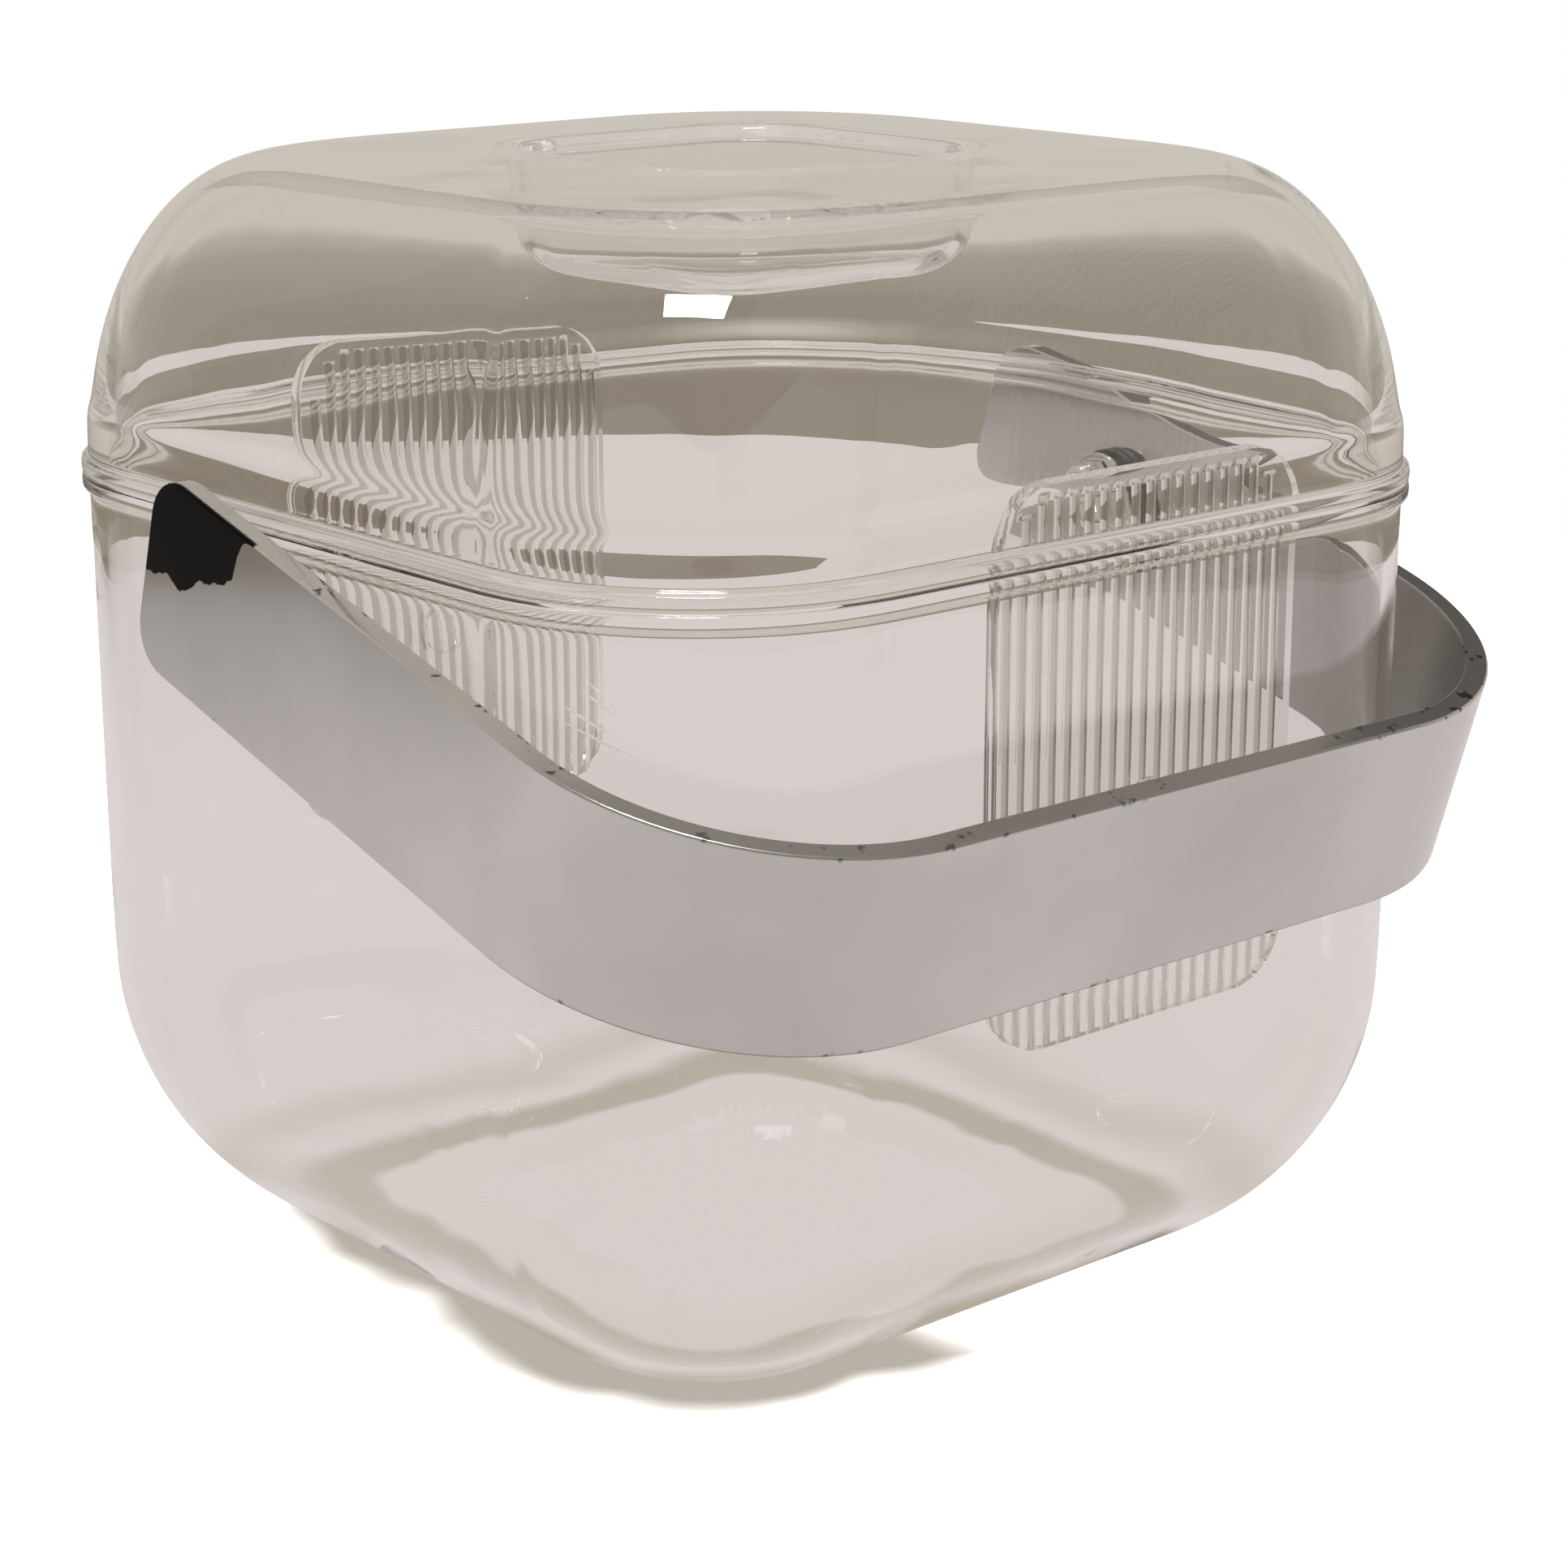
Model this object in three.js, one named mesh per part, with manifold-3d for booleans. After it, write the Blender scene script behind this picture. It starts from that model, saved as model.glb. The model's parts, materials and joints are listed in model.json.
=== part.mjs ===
// A clear moulded carrying box: a rounded-square tub, a domed lid that lifts off, a wide flat
// bail handle that swings on two pivots, and two ribbed clear plates standing inside the tub.
// Millimetres, +Z up. The origin is the centre of the flat base; the pivot axis lies along X,
// and the handle is down at the front, towards -Y.
import * as THREE from "three";
import { mergeVertices } from "three/addons/utils/BufferGeometryUtils.js";
import Module from "manifold-3d";

// ---- Driving dimensions ----------------------------------------------------------------------
const FLANGE_HALF = 110; // half the outer width of the rim flanges, the widest part of the box
const FLANGE_STEP = 1.5; // how far a flange stands proud of the wall
const FLANGE_HEIGHT = 2.9;
const PARTING_Z = 162.3; // top face of the tub's flange
const FIT_GAP = 0.3; // clearance between pieces that meet
const WALL = 3; // moulded wall thickness
const CORNER_RADIUS = 48; // outer corner radius of the walls, seen from above

const BASE_FILLET = { inset: 49.4, rise: 61.2, cornerShrink: 0.6 };

const LIP = { thickness: 1.8, rise: 2.7 }; // locating lip on the tub, inside the lid's flange

const LID_HEIGHT = 60; // from the top of the lid's flange to the edge of its flat top
const LID_DRAFT = 0.071; // inward lean of the lid's wall per unit of height
const LID_DOME = 2.2; // rise of the flat top towards the middle
const LID_FILLET = { inset: 23.9, rise: 49.5, cornerShrink: 0.08 };
const LID_RIM_WALL = 4.5; // the lid's wall is thicker at its rim ...
const LID_TAPER_HEIGHT = 35; // ... and thins to the general wall over this height

const RECESS = { half: 36.5, cornerRadius: 18.5, depth: 22.6, draft: 1, fillet: 9, edge: 2 };

const PIVOT_Z = 140.1;
const HANDLE = {
  width: 40.3, // of the flat band
  thickness: 4.8,
  inner: 110.8, // from the middle to the inner face of each arm
  reach: 128.7, // from the pivot axis to the outer face of the cross-bar
  cornerRadius: 53.7, // outer corner between an arm and the cross-bar
  tail: 42.7, // how far each arm runs on past its pivot
  tailRadius: 9,
  restAngle: 16.4, // degrees below the horizontal when it lies at the front
};

const STUD = { radius: 2.5, holeRadius: 2.8, intoArm: 2.3, length: 14.2 };
const SPACER_RADIUS = 7;
const INNER_WASHER = { radius: 6.5, thickness: 1 };
const DOME_NUT = { acrossFlats: 8, height: 4, domeRadius: 3.8, bore: 5.3 };

const PANEL = {
  width: 79,
  bottom: 69,
  height: 107,
  thickness: 3.2,
  cornerRadius: 13,
  backOffset: 103.4, // from the middle to the face turned to the wall
  margin: 2,
  ribPitch: 4,
  grooveWidth: 2.6,
  grooveDepth: 1,
  padRadius: 6,
  padHeights: [20, 42], // of the two pads above the plate's bottom edge
};
const FRONT_PANEL_X = 11; // the front plate stands a little to one side
const BACK_PANEL_X = 0;

const CORNER_STEPS = 8; // facets in each quarter turn of a wall
const FILLET_STEPS = 7;
const ROUND_STEPS = 20; // facets round a small turned piece

// ---- Materials -------------------------------------------------------------------------------
const clearAcrylic = new THREE.MeshStandardMaterial({
  color: 0xd8d2ca,
  roughness: 0.05,
  metalness: 0,
  transparent: true,
  opacity: 0.4,
});
const platedBand = new THREE.MeshStandardMaterial({ color: 0xb2aeab, roughness: 0.18, metalness: 1 });
const platedHardware = new THREE.MeshStandardMaterial({
  color: 0xc9c7c4,
  roughness: 0.15,
  metalness: 1,
});
const spacerPlastic = new THREE.MeshStandardMaterial({ color: 0x1c1c1d, roughness: 0.5, metalness: 0 });

// ---- Solids ----------------------------------------------------------------------------------
const wasm = await Module();
wasm.setup();

function solidFrom(geometry) {
  const bare = geometry.index ? geometry.toNonIndexed() : geometry.clone();
  bare.deleteAttribute("normal");
  bare.deleteAttribute("uv");
  const merged = mergeVertices(bare, 1e-4);
  const mesh = new wasm.Mesh({
    numProp: 3,
    vertProperties: merged.attributes.position.array,
    triVerts: new Uint32Array(merged.index.array),
  });
  return new wasm.Manifold(mesh);
}

function geometryFrom(solid) {
  const { vertProperties, triVerts } = solid.getMesh();
  const geometry = new THREE.BufferGeometry();
  geometry.setAttribute("position", new THREE.BufferAttribute(vertProperties, 3));
  geometry.setIndex(new THREE.BufferAttribute(triVerts, 1));
  geometry.computeVertexNormals();
  return geometry;
}

function piece(name, geometry, material) {
  const mesh = new THREE.Mesh(geometry, material);
  mesh.name = name;
  return mesh;
}

// A round bar along X from one place to another.
function barAlongX(radius, from, to, steps = ROUND_STEPS) {
  const bar = new THREE.CylinderGeometry(radius, radius, Math.abs(to - from), steps);
  return bar.rotateZ(Math.PI / 2).translate((from + to) / 2, 0, 0);
}

// ---- Rounded-square shells -------------------------------------------------------------------
// A profile point is {half, corner, z}: the half-width of the square at that height, and the
// radius of its corners. The shell is turned as a lathe form, and each ring is then drawn out
// from a circle to its rounded square.
function point(half, corner, z) {
  return { half, corner: Math.min(corner, half), z };
}

// The place on a rounded square for one step round the turn.
function onRoundedSquare({ half, corner }, step) {
  const stepsPerSide = CORNER_STEPS + 1;
  const side = Math.floor(step / stepsPerSide) % 4;
  const turn = ((step % stepsPerSide) / CORNER_STEPS) * (Math.PI / 2);
  const x = half - corner + corner * Math.cos(turn);
  const y = half - corner + corner * Math.sin(turn);
  const quarter = (side * Math.PI) / 2;
  return [
    x * Math.cos(quarter) - y * Math.sin(quarter),
    x * Math.sin(quarter) + y * Math.cos(quarter),
  ];
}

function shell(profile) {
  const rings = profile.map(({ half, z }) => new THREE.Vector2(half, z));
  const steps = 4 * (CORNER_STEPS + 1);
  const geometry = new THREE.LatheGeometry(rings, steps);
  const position = geometry.getAttribute("position");
  for (let step = 0; step <= steps; step++) {
    profile.forEach((ring, row) => {
      const [x, y] = onRoundedSquare(ring, step % steps);
      position.setXYZ(step * profile.length + row, x, y, ring.z);
    });
  }
  return solidFrom(geometry);
}

function quarterSteps(count) {
  return Array.from({ length: count + 1 }, (_, i) => (i / count) * (Math.PI / 2));
}

// ---- Tub -------------------------------------------------------------------------------------
const wallHalf = FLANGE_HALF - FLANGE_STEP;
const flangeCorner = CORNER_RADIUS + FLANGE_STEP;

// The bowl of the tub from the middle of its base to the top of its curved part.
function tubBowl(inward) {
  const { inset, rise, cornerShrink } = BASE_FILLET;
  const base = [point(0, 0, inward)];
  const curve = quarterSteps(FILLET_STEPS).map((turn) => {
    const drawnIn = (inset - inward) * (1 - Math.sin(turn));
    const corner = CORNER_RADIUS - inward - cornerShrink * drawnIn;
    return point(wallHalf - inward - drawnIn, corner, inward + (rise - inward) * (1 - Math.cos(turn)));
  });
  return base.concat(curve);
}

function tubRim() {
  const lipInner = wallHalf - WALL;
  const lipOuter = lipInner + LIP.thickness;
  const lipCorner = CORNER_RADIUS - WALL;
  const flangeBottom = PARTING_Z - FLANGE_HEIGHT;
  return [
    point(wallHalf, CORNER_RADIUS, flangeBottom - FLANGE_STEP / 2),
    point(FLANGE_HALF, flangeCorner, flangeBottom),
    point(FLANGE_HALF, flangeCorner, PARTING_Z),
    point(lipOuter, lipCorner + LIP.thickness, PARTING_Z),
    point(lipOuter, lipCorner + LIP.thickness, PARTING_Z + LIP.rise),
    point(lipInner, lipCorner, PARTING_Z + LIP.rise),
  ];
}

function makeTub() {
  const profile = [...tubBowl(0), ...tubRim(), ...tubBowl(WALL).reverse()];
  const pivotHole = barAlongX(STUD.holeRadius + FIT_GAP, -FLANGE_HALF, FLANGE_HALF);
  const tub = shell(profile).subtract(solidFrom(pivotHole.translate(0, 0, PIVOT_Z)));
  return piece("tub", geometryFrom(tub), clearAcrylic);
}

// ---- Lid -------------------------------------------------------------------------------------
const lidBottom = PARTING_Z + FIT_GAP;
const lidFlangeTop = lidBottom + FLANGE_HEIGHT;
const lidShoulder = lidFlangeTop + LID_HEIGHT;
const recessFloor = lidShoulder + LID_DOME - RECESS.depth;

function lidWallAt(z) {
  return wallHalf - LID_DRAFT * (z - lidFlangeTop);
}

function lidThicknessAt(z) {
  const taper = THREE.MathUtils.clamp((z - lidFlangeTop) / LID_TAPER_HEIGHT, 0, 1);
  return THREE.MathUtils.lerp(LID_RIM_WALL, WALL, taper);
}

// The recess in the top, from its middle to its upper edge; grown makes its underside.
function recessBowl(grown) {
  const { half, cornerRadius, draft, fillet, edge } = RECESS;
  const floorZ = recessFloor - grown;
  const radius = fillet + grown;
  const bottomHalf = half - draft + grown;
  const bowl = quarterSteps(FILLET_STEPS - 3).map((turn) => {
    const drawnIn = radius * (1 - Math.sin(turn));
    const corner = cornerRadius + grown - drawnIn;
    return point(bottomHalf - drawnIn, corner, floorZ + radius * (1 - Math.cos(turn)));
  });
  const topZ = domeAt(half) - grown - edge;
  const edgeTurns = quarterSteps(2).map((turn) => {
    const out = edge * (1 - Math.cos(turn));
    return point(half + grown + out, cornerRadius + grown + out, topZ + edge * Math.sin(turn));
  });
  return [point(0, 0, floorZ), ...bowl, ...edgeTurns];
}

function domeAt(half) {
  const flatHalf = lidWallAt(lidShoulder) - LID_FILLET.inset;
  return lidShoulder + LID_DOME * (1 - (half / flatHalf) ** 2);
}

// The outer wall from the flat top down to the flange; inward makes the inner wall.
function lidSide(inward) {
  const { inset, rise, cornerShrink } = LID_FILLET;
  const centreZ = lidShoulder - rise;
  return quarterSteps(FILLET_STEPS).map((turn) => {
    const z = centreZ + (rise - inward) * Math.cos(turn);
    const drawnIn = (inset - inward) * (1 - Math.sin(turn));
    const corner = CORNER_RADIUS - inward - cornerShrink * drawnIn;
    const skin = inward > 0 ? lidThicknessAt(z) : 0;
    return point(lidWallAt(z) - skin - drawnIn, corner, z);
  });
}

function lidFlange() {
  const lipOuter = wallHalf - WALL + LIP.thickness + FIT_GAP;
  const lipCorner = CORNER_RADIUS - WALL + LIP.thickness + FIT_GAP;
  const innerHalf = wallHalf - LID_RIM_WALL;
  const ledgeZ = PARTING_Z + LIP.rise + FIT_GAP;
  return [
    point(wallHalf, CORNER_RADIUS, lidFlangeTop + FLANGE_STEP / 2),
    point(FLANGE_HALF, flangeCorner, lidFlangeTop),
    point(FLANGE_HALF, flangeCorner, lidBottom),
    point(lipOuter, lipCorner, lidBottom),
    point(lipOuter, lipCorner, ledgeZ),
    point(innerHalf, CORNER_RADIUS - LID_RIM_WALL, ledgeZ),
  ];
}

function makeLid() {
  const upper = [...recessBowl(0), ...lidSide(0)];
  const under = [...recessBowl(WALL), ...lidSide(WALL)];
  const profile = [...upper, ...lidFlange(), ...under.reverse()];
  return piece("lid", geometryFrom(shell(profile.reverse())), clearAcrylic);
}

// ---- Handle and its pivots -------------------------------------------------------------------
// In the handle's own frame the pivot axis is X, +Y runs out along the arms to the cross-bar,
// and Z goes across the width of the band.
function bandOutline(inset) {
  const half = HANDLE.inner + HANDLE.thickness - inset;
  const reach = HANDLE.reach - inset;
  const radius = HANDLE.cornerRadius - inset;
  const outline = new THREE.Shape();
  outline.moveTo(-half, -HANDLE.tail);
  outline.lineTo(half, -HANDLE.tail);
  outline.lineTo(half, reach - radius);
  outline.absarc(half - radius, reach - radius, radius, 0, Math.PI / 2);
  outline.lineTo(radius - half, reach);
  outline.absarc(radius - half, reach - radius, radius, Math.PI / 2, Math.PI);
  return outline;
}

function extrudedBand(inset, depth) {
  const options = { depth, bevelEnabled: false, curveSegments: 2 * CORNER_STEPS };
  return new THREE.ExtrudeGeometry(bandOutline(inset), options).translate(0, 0, -depth / 2);
}

// The band seen from the side: straight, with rounded corners at the tail.
function bandSideView() {
  const { width, tail, tailRadius, reach, inner } = HANDLE;
  const side = new THREE.Shape();
  side.moveTo(reach, -width / 2);
  side.lineTo(reach, width / 2);
  side.lineTo(tailRadius - tail, width / 2);
  side.absarc(tailRadius - tail, width / 2 - tailRadius, tailRadius, Math.PI / 2, Math.PI);
  side.lineTo(-tail, tailRadius - width / 2);
  side.absarc(tailRadius - tail, tailRadius - width / 2, tailRadius, Math.PI, 1.5 * Math.PI);
  const depth = 2 * (inner + 2 * HANDLE.thickness);
  const options = { depth, bevelEnabled: false, curveSegments: 5 };
  const view = new THREE.ExtrudeGeometry(side, options).translate(0, 0, -depth / 2);
  return view.applyMatrix4(new THREE.Matrix4().set(0, 0, 1, 0, 1, 0, 0, 0, 0, 1, 0, 0, 0, 0, 0, 1));
}

function makeBand() {
  const { inner, thickness, width } = HANDLE;
  const outer = solidFrom(extrudedBand(0, width));
  const hollow = solidFrom(extrudedBand(thickness, width + 2).translate(0, -1, 0));
  const socketEnd = inner + STUD.intoArm + FIT_GAP;
  const sockets = solidFrom(barAlongX(STUD.holeRadius, -socketEnd, socketEnd));
  const band = outer.subtract(hollow).intersect(solidFrom(bandSideView())).subtract(sockets);
  return piece("handle_band", geometryFrom(band), platedBand);
}

// A ring round the pivot axis; side is -1 or 1, and from and to are distances from the middle.
function makeRing(name, material, { radius, from, to }, side) {
  const disc = solidFrom(barAlongX(radius, side * from, side * to));
  const bore = solidFrom(barAlongX(STUD.holeRadius, side * (from - 1), side * (to + 1)));
  return piece(name, geometryFrom(disc.subtract(bore)), material);
}

function makeDomeNut(name, face, side) {
  const { acrossFlats, height, domeRadius, bore } = DOME_NUT;
  const hexRadius = acrossFlats / Math.sqrt(3);
  const hex = solidFrom(barAlongX(hexRadius, side * (face - height), side * face, 6));
  const dome = new THREE.SphereGeometry(domeRadius, ROUND_STEPS, 10);
  const body = hex.add(solidFrom(dome.translate(side * (face - height), 0, 0)));
  const hole = solidFrom(barAlongX(STUD.holeRadius, side * (face - bore), side * (face + 1)));
  return piece(name, geometryFrom(body.subtract(hole)), platedHardware);
}

function makePivot(sideName, side) {
  const { inner } = HANDLE;
  const innerWall = wallHalf - WALL;
  const studEnd = inner + STUD.intoArm;
  const stud = barAlongX(STUD.radius, side * (studEnd - STUD.length), side * studEnd);
  const spacer = { radius: SPACER_RADIUS, from: wallHalf + FIT_GAP, to: inner - FIT_GAP };
  const washer = {
    radius: INNER_WASHER.radius,
    from: innerWall - FIT_GAP - INNER_WASHER.thickness,
    to: innerWall - FIT_GAP,
  };
  return [
    piece("pivot_stud_" + sideName, stud, platedHardware),
    makeRing("spacer_washer_" + sideName, spacerPlastic, spacer, side),
    makeRing("inner_washer_" + sideName, platedHardware, washer, side),
    makeDomeNut("dome_nut_" + sideName, washer.from - FIT_GAP, side),
  ];
}

function makeHandle() {
  const handle = new THREE.Group();
  handle.position.set(0, 0, PIVOT_Z);
  handle.rotation.x = Math.PI + THREE.MathUtils.degToRad(HANDLE.restAngle);
  handle.add(makeBand(), ...makePivot("left", -1), ...makePivot("right", 1));
  return handle;
}

// ---- Ribbed plates ---------------------------------------------------------------------------
// Built standing on z = 0 and centred on x, with the smooth back at y = 0 and the ribs at -Y.
function roundedRectangle(width, height, radius) {
  const shape = new THREE.Shape();
  shape.moveTo(radius - width / 2, 0);
  shape.absarc(width / 2 - radius, radius, radius, -Math.PI / 2, 0);
  shape.absarc(width / 2 - radius, height - radius, radius, 0, Math.PI / 2);
  shape.absarc(radius - width / 2, height - radius, radius, Math.PI / 2, Math.PI);
  shape.absarc(radius - width / 2, radius, radius, Math.PI, 1.5 * Math.PI);
  return shape;
}

// How high the smooth margin lets a groove run at a given place across the plate.
function grooveTop(x) {
  const { width, height, cornerRadius, margin, grooveWidth } = PANEL;
  const radius = cornerRadius - margin;
  const intoCorner = Math.abs(x) + grooveWidth / 2 - (width / 2 - cornerRadius);
  const straight = height - margin - radius;
  if (intoCorner <= 0) return straight + radius;
  return straight + Math.sqrt(Math.max(radius ** 2 - intoCorner ** 2, 0));
}

function groove(x) {
  const { grooveWidth, grooveDepth, thickness } = PANEL;
  const halfWidth = grooveWidth / 2;
  const section = new THREE.Shape();
  section.moveTo(-halfWidth, -1);
  section.lineTo(-halfWidth, 0);
  section.quadraticCurveTo(-halfWidth, grooveDepth, 0, grooveDepth);
  section.quadraticCurveTo(halfWidth, grooveDepth, halfWidth, 0);
  section.lineTo(halfWidth, -1);
  const options = { depth: grooveTop(x) + 1, bevelEnabled: false, curveSegments: 2 };
  const bar = new THREE.ExtrudeGeometry(section, options);
  return bar.translate(x, -thickness, -1);
}

function makePanel(name, x, facing) {
  const { width, height, cornerRadius, thickness, ribPitch, backOffset, bottom } = PANEL;
  const outline = roundedRectangle(width, height, cornerRadius);
  const options = { depth: thickness, bevelEnabled: false, curveSegments: 6 };
  const plate = new THREE.ExtrudeGeometry(outline, options).rotateX(Math.PI / 2);
  let solid = solidFrom(plate);
  const grooves = Math.floor((width - ribPitch / 2) / ribPitch);
  for (let i = 0; i < grooves; i++) {
    const across = (i - (grooves - 1) / 2) * ribPitch;
    solid = solid.subtract(solidFrom(groove(across)));
  }
  const padDepth = wallHalf - WALL - FIT_GAP - backOffset;
  for (const z of PANEL.padHeights) {
    const pad = new THREE.CylinderGeometry(PANEL.padRadius, PANEL.padRadius, 2 * padDepth, ROUND_STEPS);
    solid = solid.add(solidFrom(pad.translate(0, 0, z)));
  }
  const mesh = piece(name, geometryFrom(solid), clearAcrylic);
  mesh.position.set(x, facing * backOffset, bottom);
  if (facing < 0) mesh.rotation.z = Math.PI;
  return mesh;
}

// ---- The box ---------------------------------------------------------------------------------
const box = new THREE.Group();
box.add(
  makeTub(),
  makePanel("ribbed_panel_front", FRONT_PANEL_X, -1),
  makePanel("ribbed_panel_back", BACK_PANEL_X, 1),
  makeLid(),
  makeHandle(),
);

export default box;
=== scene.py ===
# %% [markdown]
# # A clear carrying box with a lift-off lid
# The object is a rounded-square tub moulded in clear acrylic, a domed clear lid that lifts off,
# a wide plated band that swings over the top as a handle, and two ribbed clear plates standing
# inside the tub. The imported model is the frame: it says where every piece is and how it moves.
# This script builds the fine surfaces and finishes around it.

# %% Load the frame
import json
import math
import bmesh
import bpy
from mathutils import Matrix, Vector

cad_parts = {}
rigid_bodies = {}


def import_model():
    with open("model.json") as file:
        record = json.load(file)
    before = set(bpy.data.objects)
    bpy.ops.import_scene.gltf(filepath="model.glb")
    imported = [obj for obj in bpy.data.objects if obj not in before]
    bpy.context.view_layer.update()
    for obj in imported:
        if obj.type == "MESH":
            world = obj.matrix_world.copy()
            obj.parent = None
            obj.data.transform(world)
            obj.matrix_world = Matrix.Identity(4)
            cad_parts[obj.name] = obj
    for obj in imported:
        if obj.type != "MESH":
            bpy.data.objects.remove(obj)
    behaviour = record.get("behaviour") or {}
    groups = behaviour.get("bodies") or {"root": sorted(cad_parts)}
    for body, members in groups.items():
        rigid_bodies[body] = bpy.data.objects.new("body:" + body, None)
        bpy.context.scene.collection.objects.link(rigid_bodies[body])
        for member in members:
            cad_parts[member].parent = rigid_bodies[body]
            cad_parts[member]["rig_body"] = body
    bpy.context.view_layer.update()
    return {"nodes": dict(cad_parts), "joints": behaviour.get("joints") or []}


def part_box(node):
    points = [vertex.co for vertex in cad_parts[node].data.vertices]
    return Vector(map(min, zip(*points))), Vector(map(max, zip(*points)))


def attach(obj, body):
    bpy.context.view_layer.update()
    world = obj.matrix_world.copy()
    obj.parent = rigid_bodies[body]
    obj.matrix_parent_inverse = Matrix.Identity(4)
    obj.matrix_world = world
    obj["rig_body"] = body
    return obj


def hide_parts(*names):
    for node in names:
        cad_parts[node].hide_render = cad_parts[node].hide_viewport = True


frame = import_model()

# %% [markdown]
# ## Measures
# Sizes come from the frame. It doesn't hold the mould radii and wall thicknesses, so those are
# given here once, in metres.

# %% Measures from the frame
MM = 0.001
tub_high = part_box("tub")[1]
lid_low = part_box("lid")[0]
band_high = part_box("handle_band")[1]
swing = next(joint for joint in frame["joints"] if joint["name"] == "handle_swing")
pivot = Vector(swing["pos_m"])
rest_dip = math.radians(sum(swing["range_deg"]) - 180) / 2

flange_half = tub_high.x
flange_step = 1.5 * MM
flange_height = 2.9 * MM
wall_half = flange_half - flange_step
wall = 3 * MM
corner_radius = 48 * MM
lip_rise = 2.7 * MM
parting_z = tub_high.z - lip_rise
fit_gap = lid_low.z - parting_z
print("rim width", round(2 * flange_half, 4), "m, parting line at", round(parting_z, 4), "m")

# %% [markdown]
# ## The camera
# The view is from the front left, a little above the lid, through a longish lens, so the box
# keeps nearly parallel sides. Two angles round a point inside the tub place the camera.

# %% Camera
VIEW_AZIMUTH, VIEW_ELEVATION = -40.94, 15.76
VIEW_DISTANCE = 0.7172
VIEW_AIM = Vector((-0.0154, -0.0312, 0.1047))
LENS = 82.7
SENSOR_WIDTH = 36


def direction(azimuth, elevation):
    """The way out from the object to a viewer. Azimuth 0 is in front, towards -Y."""
    a, e = math.radians(azimuth), math.radians(elevation)
    return Vector((math.sin(a) * math.cos(e), -math.cos(a) * math.cos(e), math.sin(e)))


towards_viewer = direction(VIEW_AZIMUTH, VIEW_ELEVATION)
camera = bpy.data.objects.new("camera", bpy.data.cameras.new("camera"))
bpy.context.scene.collection.objects.link(camera)
camera.data.lens = LENS
camera.data.sensor_width = SENSOR_WIDTH
camera.data.clip_start = 10 * MM
camera.location = VIEW_AIM + VIEW_DISTANCE * towards_viewer
camera.rotation_euler = towards_viewer.to_track_quat("Z", "Y").to_euler()
bpy.context.scene.camera = camera
print("camera", VIEW_DISTANCE, "m away, with a", LENS, "mm lens")

# %% [markdown]
# ## Node helpers
# A material is a tree of nodes. Each node takes three or four lines to make and link, so a few
# small helpers keep the trees below short.

# %% Colours and nodes
def from_screen(red, green, blue):
    """A screen colour, 0 to 255, as the linear colour that nodes work with."""
    def linear(value):
        share = value / 255
        return share / 12.92 if share <= 0.04045 else ((share + 0.055) / 1.055) ** 2.4
    return (linear(red), linear(green), linear(blue), 1)


def add_node(tree, kind, **settings):
    """Adds a node and sets its properties, or its sockets where the name is a socket's."""
    node = tree.nodes.new(kind)
    for name, value in settings.items():
        if hasattr(node, name):
            setattr(node, name, value)
        else:
            node.inputs[name.replace("_", " ")].default_value = value
    return node


def ramp_stops(node, stops):
    """Fills a colour ramp with (place, colour) stops."""
    ramp = node.color_ramp
    ramp.interpolation = "EASE"
    while len(ramp.elements) > 1:
        ramp.elements.remove(ramp.elements[0])
    ramp.elements[0].position, ramp.elements[0].color = stops[0]
    for place, colour in stops[1:]:
        ramp.elements.new(place).color = colour


# %% Sums and patterns in a node tree
def math_node(tree, operation, first, second=0.0):
    """A math node fed by sockets or numbers; returns its result socket."""
    node = add_node(tree, "ShaderNodeMath", operation=operation)
    for number, value in enumerate((first, second)):
        if isinstance(value, (int, float)):
            node.inputs[number].default_value = value
        else:
            tree.links.new(value, node.inputs[number])
    return node.outputs[0]


def dot(tree, vector, direction_of):
    node = add_node(tree, "ShaderNodeVectorMath", operation="DOT_PRODUCT")
    tree.links.new(vector, node.inputs[0])
    node.inputs[1].default_value = direction_of
    return node.outputs["Value"]


def smooth_step(tree, value, low, high):
    """Nought below low, one above high, and a soft slope between them."""
    node = add_node(tree, "ShaderNodeMapRange", interpolation_type="SMOOTHSTEP",
                    From_Min=low, From_Max=high)
    tree.links.new(value, node.inputs["Value"])
    return node.outputs["Result"]


def noise(tree, vector, scale, detail=2.0):
    node = add_node(tree, "ShaderNodeTexNoise", Scale=scale, Detail=detail)
    tree.links.new(vector, node.inputs["Vector"])
    return node.outputs[0]


def blend_colours(tree, share, first, second):
    """Mixes two colours, each a value or a socket, by a share."""
    mix = add_node(tree, "ShaderNodeMix", data_type="RGBA")
    tree.links.new(share, mix.inputs[0])
    for socket, colour in ((mix.inputs[6], first), (mix.inputs[7], second)):
        if isinstance(colour, tuple):
            socket.default_value = colour
        else:
            tree.links.new(colour, socket)
    return mix.outputs[2]


def principled(name, **settings):
    """A material with one Principled shader, set by the names of its sockets."""
    material = bpy.data.materials.new(name)
    material.use_nodes = True
    body = material.node_tree.nodes["Principled BSDF"]
    for socket, value in settings.items():
        body.inputs[socket.replace("_", " ")].default_value = value
    return material


def group_output(tree, name, socket, kind="NodeSocketFloat"):
    """Gives a node group its one output; returns the group."""
    tree.interface.new_socket(name, in_out="OUTPUT", socket_type=kind)
    tree.links.new(socket, tree.nodes.new("NodeGroupOutput").inputs[0])
    return tree


# %% [markdown]
# ## The room round the box
# Clear plastic has hardly any colour of its own. What one sees is the room behind it, so the room
# is made with as much care as the box. The eye sees plain white. Rays that have passed through the
# plastic or bounced off the plating see a warm grey room instead, darkest low down. The Light Path
# node tells the two kinds of ray apart.

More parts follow.
